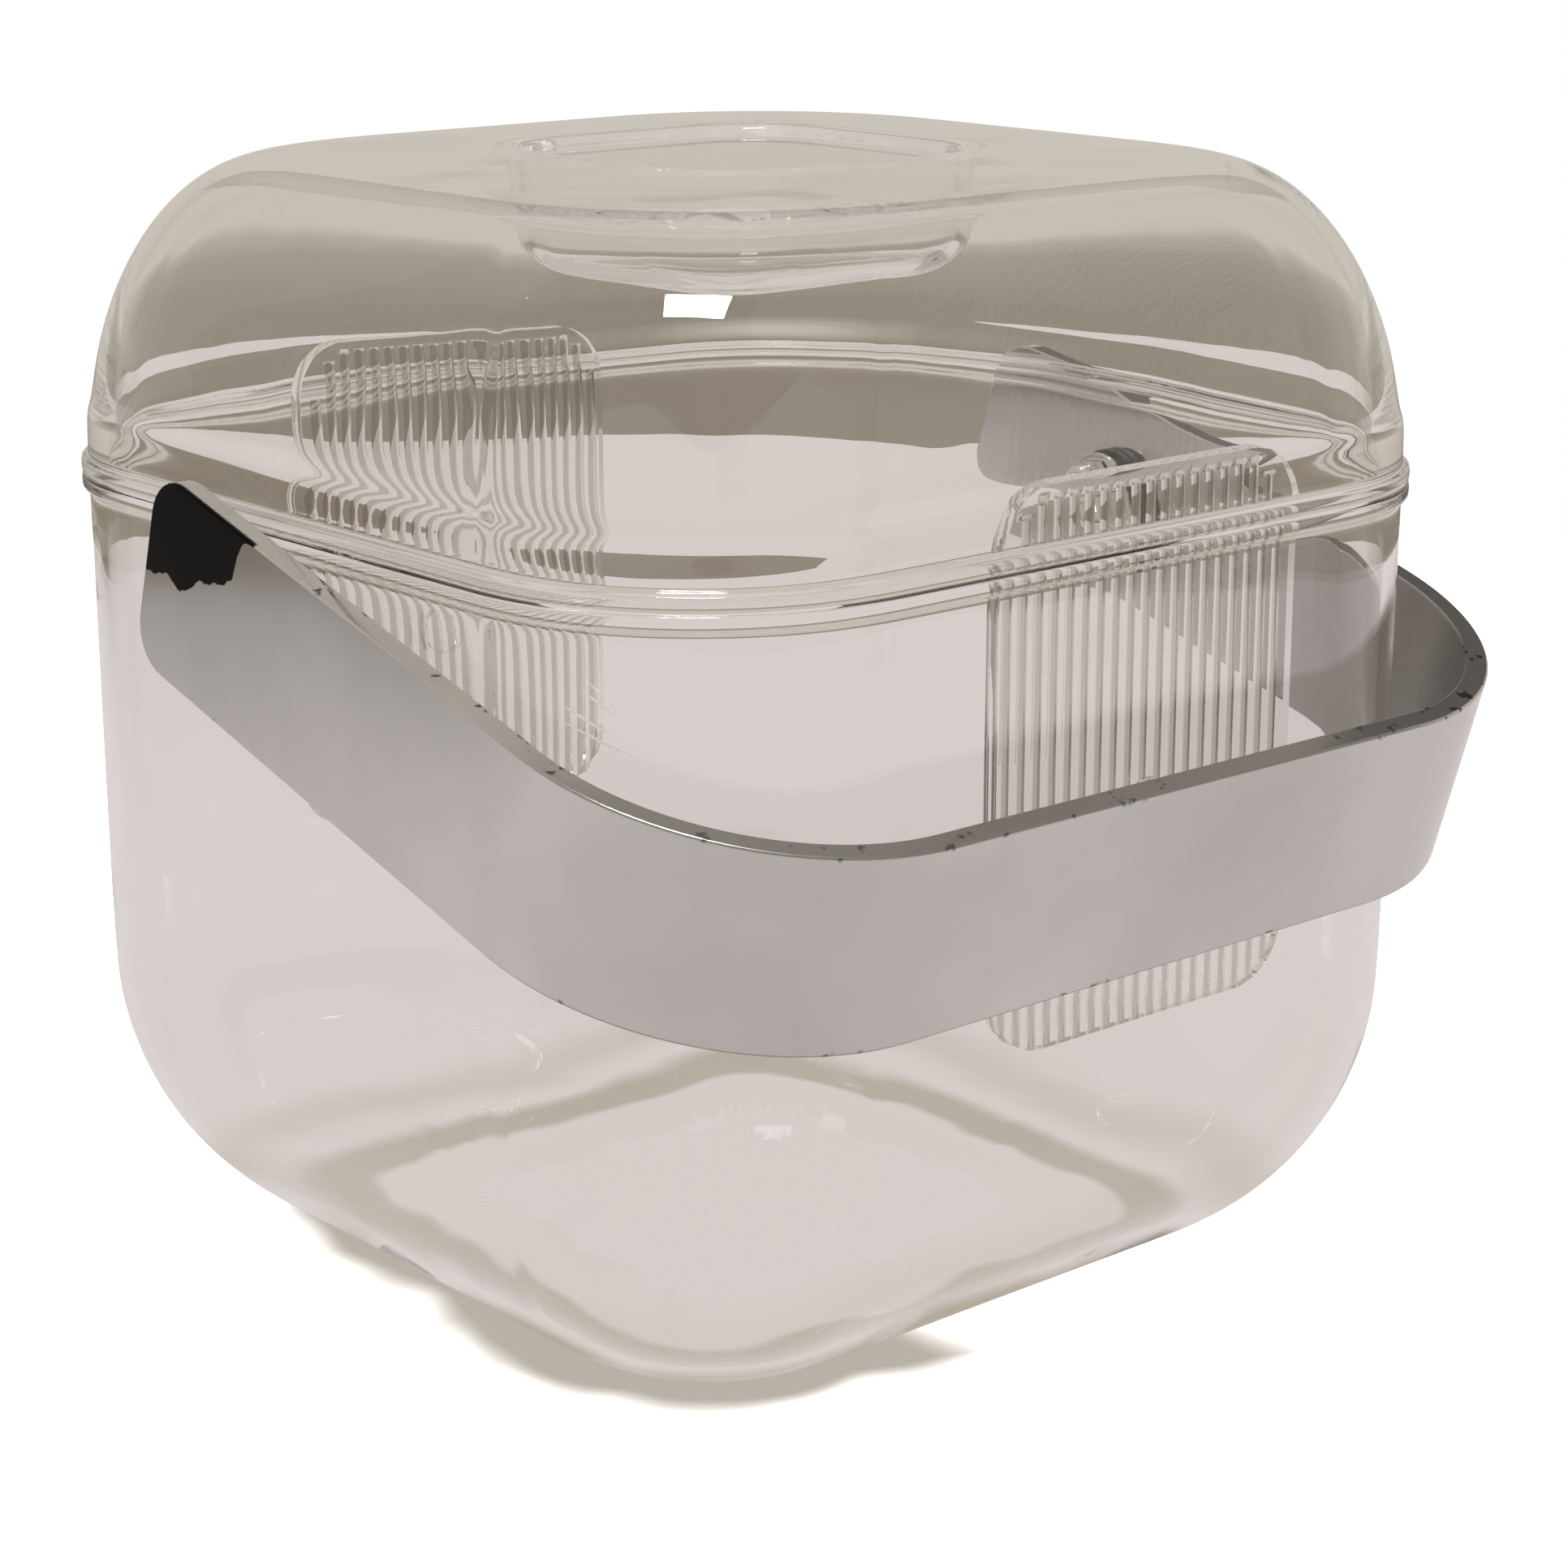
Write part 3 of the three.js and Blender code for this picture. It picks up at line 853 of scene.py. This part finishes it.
# %% Places on the band, for masks
def band_group(name):
    """A new node group, the place on the band, and that place from the pivot."""
    tree = bpy.data.node_groups.new(name, "ShaderNodeTree")
    place = add_node(tree, "ShaderNodeTexCoord").outputs["Object"]
    moved = add_node(tree, "ShaderNodeVectorMath", operation="SUBTRACT")
    moved.inputs[1].default_value = pivot
    tree.links.new(place, moved.inputs[0])
    return tree, place, moved.outputs[0]


# %% The worn patch
# The lower edge of the patch: millimetres along the arm from the pivot, and across it.
WORN_EDGE = [
    (-42.7, 1.2), (-38.5, 0.6), (-35.5, -1.6), (-31.5, -0.2), (-28, -0.8), (-24, -5), (-20, -6.5),
    (-16, -8.2), (-13.6, -10.5), (-12.9, -15.5), (-12, -18.3), (-8, -20.2),
]
WORN_SPAN = (-42.7, -8)
WORN_REACH = (-21, 3)
RAGGED_MM = 2.4


def worn_edge_line(tree, along_mm):
    """The patch's lower edge, in millimetres across the band, from a curve."""
    share = add_node(tree, "ShaderNodeMapRange", From_Min=WORN_SPAN[0], From_Max=WORN_SPAN[1])
    tree.links.new(along_mm, share.inputs["Value"])
    edge = add_node(tree, "ShaderNodeFloatCurve")
    curve = edge.mapping.curves[0]
    span, reach = WORN_SPAN[1] - WORN_SPAN[0], WORN_REACH[1] - WORN_REACH[0]
    places = sorted(((u - WORN_SPAN[0]) / span, (v - WORN_REACH[0]) / reach) for u, v in WORN_EDGE)
    while len(curve.points) < len(places):
        curve.points.new(0.5, 0.5)
    for point, spot in zip(curve.points, places):
        point.location = spot
        point.handle_type = "VECTOR"
    edge.mapping.update()
    tree.links.new(share.outputs["Result"], edge.inputs["Value"])
    return math_node(tree, "ADD", math_node(tree, "MULTIPLY", edge.outputs[0], reach), WORN_REACH[0])


def worn_patch():
    """A node group: one where the plating has flaked off the left tail."""
    tree, place, from_pivot = band_group("worn_patch")
    along_mm = math_node(tree, "DIVIDE", dot(tree, from_pivot, along), MM)
    across_mm = math_node(tree, "DIVIDE", dot(tree, from_pivot, across), MM)
    line = worn_edge_line(tree, along_mm)
    uneven = math_node(tree, "SUBTRACT", noise(tree, place, 320), 0.5)
    ragged = math_node(tree, "MULTIPLY", uneven, RAGGED_MM)
    below = math_node(tree, "SUBTRACT", math_node(tree, "ADD", line, ragged), across_mm)
    patch = smooth_step(tree, below, -0.15, 0.15)
    outer = smooth_step(tree, dot(tree, place, (-1, 0, 0)), arm_outer - 1.2 * MM, arm_outer - 0.6 * MM)
    before = smooth_step(tree, math_node(tree, "MULTIPLY", along_mm, -1.0), 7.5, 8.5)
    on_face = math_node(tree, "MULTIPLY", patch, outer)
    return group_output(tree, "Worn", math_node(tree, "MULTIPLY", on_face, before))


# %% The painted dark inside and the flecks
def painted_dark_inside():
    """A node group: one on the band's inner face and upper strip round its front, painted darker as
    painted shade.
    """
    tree, place, from_pivot = band_group("painted_dark_inside")
    forward = dot(tree, from_pivot, along)
    sideways = math_node(tree, "ABSOLUTE", dot(tree, place, (1, 0, 0)))
    squares = []
    for reach, bend_start in ((sideways, arm_outer - BAND_CORNER), (forward, BAND_REACH - BAND_CORNER)):
        beyond = math_node(tree, "MAXIMUM", math_node(tree, "SUBTRACT", reach, bend_start))
        squares.append(math_node(tree, "POWER", beyond, 2.0))
    out = math_node(tree, "SQRT", math_node(tree, "ADD", *squares))
    depth = math_node(tree, "SUBTRACT", BAND_CORNER, out)
    inner = smooth_step(tree, depth, 4.2 * MM, 4.7 * MM)
    front = smooth_step(tree, forward, 15 * MM, 85 * MM)
    off_middle = math_node(tree, "ABSOLUTE", dot(tree, from_pivot, across))
    strip = smooth_step(tree, off_middle, 19.5 * MM, 19.9 * MM)
    to_right = dot(tree, place, (1, 0, 0))
    middle = math_node(tree, "SUBTRACT", 1.0, smooth_step(tree, to_right, 48 * MM, 82 * MM))
    far_front = math_node(tree, "MULTIPLY", smooth_step(tree, forward, 55 * MM, 100 * MM), middle)
    # Both masks mark where the plating is painted darker, as painted shade.
    inside = math_node(tree, "MULTIPLY", inner, front)
    painted_dark_strip = math_node(tree, "MULTIPLY", strip, far_front)
    return group_output(tree, "Painted dark", math_node(tree, "MAXIMUM", inside, painted_dark_strip))


def specks():
    """A node group: small dark flecks, thicker along the edges of the band."""
    tree, place, from_pivot = band_group("specks")
    across_mm = math_node(tree, "DIVIDE", dot(tree, from_pivot, across), MM)
    rim = smooth_step(tree, math_node(tree, "ABSOLUTE", across_mm), 18.9, 20.0)
    rim_flecks = smooth_step(tree, noise(tree, place, 230, 3.0), 0.64, 0.68)
    flecks = add_node(tree, "ShaderNodeTexVoronoi", feature="F1", Scale=60.0)
    tree.links.new(place, flecks.inputs["Vector"])
    nearness = math_node(tree, "MULTIPLY", flecks.outputs["Distance"], -1.0)
    spot = smooth_step(tree, nearness, -0.055, -0.03)
    some = smooth_step(tree, noise(tree, place, 22), 0.6, 0.66)
    scattered = math_node(tree, "MULTIPLY", spot, some)
    at_rim = math_node(tree, "MULTIPLY", rim, rim_flecks)
    return group_output(tree, "Flecks", math_node(tree, "MAXIMUM", scattered, at_rim))


# %% [markdown]
# ## The plated finish
# Plating is a plain metal with a low roughness. A slow noise dulls it in clouds, as wiping does,
# and then the masks lay the wear and the painted shade of the inside over it, the black patch last.

# %% Plating with its wear
STEEL = (0.78, 0.77, 0.76, 1)
PLATING = (0.67, 0.67, 0.67, 1)
PLATING_DULL = (0.57, 0.57, 0.56, 1)
# Painted shade for the inner face and the front strip.
PLATING_PAINTED_DARK = (0.31, 0.305, 0.29, 1)
WORN_BLACK = (0.003, 0.003, 0.003, 1)
FLECK_GREY = (0.12, 0.12, 0.12, 1)
POLISHED, SMEARED_ROUGH, WORN_ROUGH, INSIDE_ROUGH = 0.1, 0.08, 0.4, 0.16


def band_finish():
    material = principled("plated_band", Base_Color=PLATING, Metallic=1, Roughness=0.12)
    tree = material.node_tree
    body = tree.nodes["Principled BSDF"]
    place = add_node(tree, "ShaderNodeTexCoord").outputs["Object"]
    smear = smooth_step(tree, noise(tree, place, 14, 4.0), 0.4, 0.75)
    flecks = add_node(tree, "ShaderNodeGroup", node_tree=specks()).outputs[0]
    worn = add_node(tree, "ShaderNodeGroup", node_tree=worn_patch()).outputs[0]
    tone = blend_colours(tree, smear, PLATING, PLATING_DULL)
    # The inner face and the front strip are painted darker: painted shade.
    inside = add_node(tree, "ShaderNodeGroup", node_tree=painted_dark_inside()).outputs[0]
    tone = blend_colours(tree, inside, tone, PLATING_PAINTED_DARK)
    tone = blend_colours(tree, flecks, tone, FLECK_GREY)
    tone = blend_colours(tree, worn, tone, WORN_BLACK)
    tree.links.new(tone, body.inputs["Base Color"])
    rough = math_node(tree, "ADD", math_node(tree, "MULTIPLY", smear, SMEARED_ROUGH), POLISHED)
    for share, more in ((worn, WORN_ROUGH), (inside, INSIDE_ROUGH)):
        rough = math_node(tree, "ADD", rough, math_node(tree, "MULTIPLY", share, more))
    tree.links.new(rough, body.inputs["Roughness"])
    return material


plated_steel = principled("plated_steel", Base_Color=STEEL, Metallic=1, Roughness=0.08)
plated_band = band_finish()
print("2 plated finishes")

# %% [markdown]
# ## The handle band
# The band's outer line is drawn first: a vertex is extruded along one arm, spun round the corner,
# and so on to the other tail. The line is extruded across to make a sheet, the tail corners are
# rounded, and the sheet is given its thickness. A bevelled curve would leave the tails square.

# %% The handle band
CORNER_FACETS = 32
TAIL_FACETS = 8
band_place = Matrix.Translation(pivot) @ Matrix((Vector((1, 0, 0)), along, across)).transposed().to_4x4()


def band_line(bm):
    """The outer line of the U, from one tail to the other."""
    tip = bm.verts.new((-arm_outer, -BAND_TAIL, -BAND_WIDTH / 2))
    bend = BAND_REACH - BAND_CORNER
    centre_x = arm_outer - BAND_CORNER

    def run_to(tip, x, y):
        made = bmesh.ops.extrude_vert_indiv(bm, verts=[tip])["verts"][0]
        made.co.x, made.co.y = x, y
        return made

    def bend_round(tip, centre):
        turn = bmesh.ops.spin(
            bm, geom=[tip], cent=centre, axis=(0, 0, -1), angle=math.radians(90), steps=CORNER_FACETS,
        )
        return next(g for g in turn["geom_last"] if isinstance(g, bmesh.types.BMVert))

    tip = run_to(tip, -arm_outer, bend)
    tip = bend_round(tip, (-centre_x, bend, -BAND_WIDTH / 2))
    tip = run_to(tip, centre_x, BAND_REACH)
    tip = bend_round(tip, (centre_x, bend, -BAND_WIDTH / 2))
    run_to(tip, arm_outer, -BAND_TAIL)


def make_band():
    bm = bmesh.new()
    band_line(bm)
    made = bmesh.ops.extrude_edge_only(bm, edges=bm.edges[:])["geom"]
    moved = [g for g in made if isinstance(g, bmesh.types.BMVert)]
    bmesh.ops.translate(bm, verts=moved, vec=(0, 0, BAND_WIDTH))
    tails = [v for v in bm.verts if v.co.y < 10 * TINY - BAND_TAIL]
    round_off(bm, tails, TAIL_RADIUS, TAIL_FACETS)
    bmesh.ops.recalc_face_normals(bm, faces=bm.faces)
    if sum(f.normal.x * f.calc_center_median().x for f in bm.faces) < 0:
        bmesh.ops.reverse_faces(bm, faces=bm.faces)
    bmesh.ops.solidify(bm, geom=bm.faces[:], thickness=BAND_THICKNESS)
    bmesh.ops.recalc_face_normals(bm, faces=bm.faces)
    bmesh.ops.transform(bm, matrix=band_place, verts=bm.verts)
    return bm


band = make_piece("handle_bail", make_band(), plated_band, "handle_band")
softened = band.modifiers.new("softened_edges", "BEVEL")
softened.width = 0.5 * MM
softened.segments = 3
softened.limit_method = "ANGLE"
softened.angle_limit = math.radians(50)
band.modifiers.new("flat_faces", "WEIGHTED_NORMAL")

# %% [markdown]
# ## The pivots
# On each side a plated stud is held in the arm, goes through the tub's wall and ends in a dome
# nut inside. A black spacer keeps the arm off the wall and a washer spreads the nut's load. A ring
# is a small rounded section spun about the pivot.

# %% Rings about the pivot
ROUND_STEPS = 48
RING_SOFTNESS = 0.2 * MM
BORE_RADIUS = 2.8 * MM
NUT_FLATS = 8 * MM
NUT_HEIGHT = 4 * MM
NUT_BORE = 5.3 * MM


def ring_about_pivot(inner, outer, start, end):
    """A soft-edged ring round the pivot axis, from start to end along X."""
    bm = bmesh.new()
    corners = [(start, inner), (end, inner), (end, outer), (start, outer)]
    verts = [bm.verts.new((x, 0, radius)) for x, radius in corners]
    bm.faces.new(verts)
    round_off(bm, verts, RING_SOFTNESS, 3)
    bmesh.ops.delete(bm, geom=bm.faces[:], context="FACES_ONLY")
    bmesh.ops.spin(
        bm, geom=bm.verts[:] + bm.edges[:], cent=(0, 0, 0), axis=(1, 0, 0),
        angle=math.radians(360), steps=ROUND_STEPS, use_merge=True,
    )
    bmesh.ops.remove_doubles(bm, verts=bm.verts, dist=TINY)
    bmesh.ops.recalc_face_normals(bm, faces=bm.faces)
    bmesh.ops.translate(bm, verts=bm.verts, vec=pivot)
    return bm


spacer_plastic = principled("spacer_plastic", Base_Color=(0.012, 0.012, 0.013, 1), Roughness=0.45)
for side in ("left", "right"):
    for kind, finish, slot in (
        ("spacer_washer", spacer_plastic, "spacer_plastic"),
        ("inner_washer", plated_steel, "plated_steel"),
    ):
        node = kind + "_" + side
        low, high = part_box(node)
        bm = ring_about_pivot(BORE_RADIUS, (high.z - low.z) / 2, low.x, high.x)
        make_piece(side + "_" + kind, bm, finish, node)

# %% [markdown]
# ## Studs, dome nuts and the holes they need
# A stud is a plain pin with softened ends. A dome nut is a six-sided pin joined to a ball, with
# the stud's bore cut out of it. The tub gets its pivot holes here too, a little wider than the
# stud, so that metal and plastic never share a place.

# %% Pins and domes
def pin_about_pivot(radius, start, end, segments=ROUND_STEPS):
    """A closed pin along X through the pivot axis."""
    bm = bmesh.new()
    bmesh.ops.create_cone(
        bm, cap_ends=True, segments=segments, radius1=radius, radius2=radius, depth=abs(end - start),
        matrix=Matrix.Translation(pivot + Vector(((start + end) / 2, 0, 0)))
        @ Matrix.Rotation(math.radians(90), 4, "Y"),
    )
    return bm


def soften(bm, width, steps=3):
    """Rounds the edges round the flat ends of a pin."""
    ends = [f for f in bm.faces if abs(f.normal.x) > 0.99]
    rims = list({edge for face in ends for edge in face.edges})
    round_off(bm, rims, width, steps, "EDGES")
    return bm


def dome_about_pivot(radius, centre_x):
    bm = bmesh.new()
    bmesh.ops.create_uvsphere(
        bm, u_segments=ROUND_STEPS, v_segments=ROUND_STEPS // 2, radius=radius,
        matrix=Matrix.Translation(pivot + Vector((centre_x, 0, 0)))
        @ Matrix.Rotation(math.radians(90), 4, "Y"),
    )
    return bm


# %% Studs, dome nuts and pivot holes
STUD_END = 0.4 * MM
NUT_EDGE = 0.35 * MM

settle(tub)
combine(tub, pin_about_pivot(BORE_RADIUS + fit_gap, -wall_half - wall, wall_half + wall), "DIFFERENCE")
crease(tub, 50)
for side, sign in (("left", -1), ("right", 1)):
    node = "pivot_stud_" + side
    low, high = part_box(node)
    stud = soften(pin_about_pivot((high.z - low.z) / 2, low.x, high.x), STUD_END)
    make_piece(side + "_stud", stud, plated_steel, node)

    node = "dome_nut_" + side
    low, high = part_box(node)
    face, tip = (low.x, high.x) if sign < 0 else (high.x, low.x)
    base = face - sign * NUT_HEIGHT
    hexagon = pin_about_pivot(NUT_FLATS / math.sqrt(3), face, base, segments=6)
    soften(hexagon, NUT_EDGE, steps=2)
    nut = make_piece(side + "_dome_nut", hexagon, plated_steel, node)
    combine(nut, dome_about_pivot(abs(tip - base), base), "UNION")
    combine(nut, pin_about_pivot(BORE_RADIUS, face + sign * MM, face - sign * NUT_BORE), "DIFFERENCE")
    crease(nut, 30)

# %% [markdown]
# ## The ribbed plates
# A rounded rectangle is cut by upright planes at the flanks of every groove and by a few level
# planes near the top. It is then extruded to its thickness, and the ribbed side is pressed in.
# The grooves stop short of a smooth margin at the top and run out at the bottom edge. A Bump node
# wouldn't do, because ribs this deep bend the whole view behind them.

# %% Measures of a plate
PLATE_WIDTH = 79 * MM
PLATE_BOTTOM = 69 * MM
PLATE_HEIGHT = 107 * MM
PLATE_THICKNESS = 3.2 * MM
PLATE_CORNER = 13 * MM
PLATE_CORNER_FACETS = 12
PLATE_BACK = 103.4 * MM
PLATE_MARGIN = 2.5 * MM
RIB_PITCH = 4 * MM
GROOVES = 19
GROOVE_HALF = 1.3 * MM
GROOVE_DEPTH = 1 * MM
GROOVE_CUTS = 8
RUN_IN = 0.5 * MM
LEVEL_CUTS = 28
PAD_RADIUS = 6 * MM
PAD_HEIGHTS = (20 * MM, 42 * MM)
print(GROOVES, "grooves,", round(RIB_PITCH / MM, 1), "mm apart")

# %% How deep a groove is at each place
def groove_top(x):
    """The height at which the smooth margin stops a groove."""
    radius = PLATE_CORNER - PLATE_MARGIN
    into_corner = abs(x) + GROOVE_HALF - (PLATE_WIDTH / 2 - PLATE_CORNER)
    straight = PLATE_HEIGHT - PLATE_MARGIN - radius
    if into_corner <= 0:
        return straight + radius
    return straight + math.sqrt(max(radius ** 2 - into_corner ** 2, 0))


def pressed_in(x, z):
    """How deep the ribbed side is pressed in at a place on the plate."""
    centre = round(x / RIB_PITCH) * RIB_PITCH
    off = abs(x - centre) / GROOVE_HALF
    if off >= 1 or abs(centre) > GROOVES // 2 * RIB_PITCH + GROOVE_HALF:
        return 0
    run_in = min(max((groove_top(centre) - z) / RUN_IN, 0), 1)
    return GROOVE_DEPTH * (1 - off ** 2) * math.sin(run_in * math.pi / 2)


# %% The pressed sheet and its pads
def cut(bm, place, normal):
    bmesh.ops.bisect_plane(
        bm, geom=bm.verts[:] + bm.edges[:] + bm.faces[:], plane_co=place, plane_no=normal,
    )


def ribbed_sheet():
    """The plate standing on z = 0 with its smooth back at y = 0 and its ribs towards -Y."""
    bm = bmesh.new()
    half = PLATE_WIDTH / 2
    outline = [(-half, 0), (half, 0), (half, PLATE_HEIGHT), (-half, PLATE_HEIGHT)]
    corners = [bm.verts.new((x, 0, z)) for x, z in outline]
    bm.faces.new(corners)
    round_off(bm, corners, PLATE_CORNER, PLATE_CORNER_FACETS)
    for number in range(GROOVES):
        centre = (number - GROOVES // 2) * RIB_PITCH
        for step in range(GROOVE_CUTS + 1):
            turn = math.pi * (step / GROOVE_CUTS - 0.5)
            cut(bm, (centre + GROOVE_HALF * math.sin(turn), 0, 0), (1, 0, 0))
    for level in range(1, LEVEL_CUTS + 1):
        cut(bm, (0, 0, PLATE_HEIGHT - level * RUN_IN), (0, 0, 1))
    depth_of = bm.verts.layers.float.new("groove")
    made = bmesh.ops.extrude_face_region(bm, geom=bm.faces[:])["geom"]
    pressed = [g for g in made if isinstance(g, bmesh.types.BMVert)]
    for vert in pressed:
        depth = pressed_in(vert.co.x, vert.co.z)
        vert.co.y = depth - PLATE_THICKNESS
        vert[depth_of] = depth / GROOVE_DEPTH
    bmesh.ops.recalc_face_normals(bm, faces=bm.faces)
    return bm


def round_pad(height, depth):
    bm = bmesh.new()
    bmesh.ops.create_cone(
        bm, cap_ends=True, segments=ROUND_STEPS, radius1=PAD_RADIUS, radius2=PAD_RADIUS, depth=2 * depth,
        matrix=Matrix.Translation((0, 0, height)) @ Matrix.Rotation(math.radians(90), 4, "X"),
    )
    return bm


# %% [markdown]
# ## Painted shade in the grooves
# The bottoms of the grooves are painted darker, as painted shade. Every vertex of the sheet
# carries how deep it was pressed, and that attribute drives the painted shade.

# %% The painted groove shade, and the two plates
def paint_groove_shade(material, tint):
    tree = material.node_tree
    groove = add_node(tree, "ShaderNodeAttribute", attribute_name="groove")
    body = tree.nodes["Principled BSDF"]
    clear = tuple(body.inputs["Base Color"].default_value)
    # Deeper places get more of the painted shade tint.
    share = smooth_step(tree, groove.outputs["Fac"], 0.25, 0.75)
    tree.links.new(blend_colours(tree, share, clear, tint), body.inputs["Base Color"])


# Painted shade for the groove bottoms.
paint_groove_shade(plate_acrylic, (0.46, 0.42, 0.38, 1))

for name, node, facing in (
    ("front_ribbed_plate", "ribbed_panel_front", -1), ("back_ribbed_plate", "ribbed_panel_back", 1),
):
    low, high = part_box(node)
    outer_face = max(abs(low.y), abs(high.y))
    plate = make_piece(name, ribbed_sheet(), plate_acrylic, node)
    for height in PAD_HEIGHTS:
        combine(plate, round_pad(height, outer_face - PLATE_BACK), "UNION")
    turn = Matrix.Rotation(math.pi if facing < 0 else 0, 4, "Z")
    stand = Matrix.Translation(((low.x + high.x) / 2, facing * PLATE_BACK, PLATE_BOTTOM))
    plate.data.transform(stand @ turn)
    crease(plate, 40)
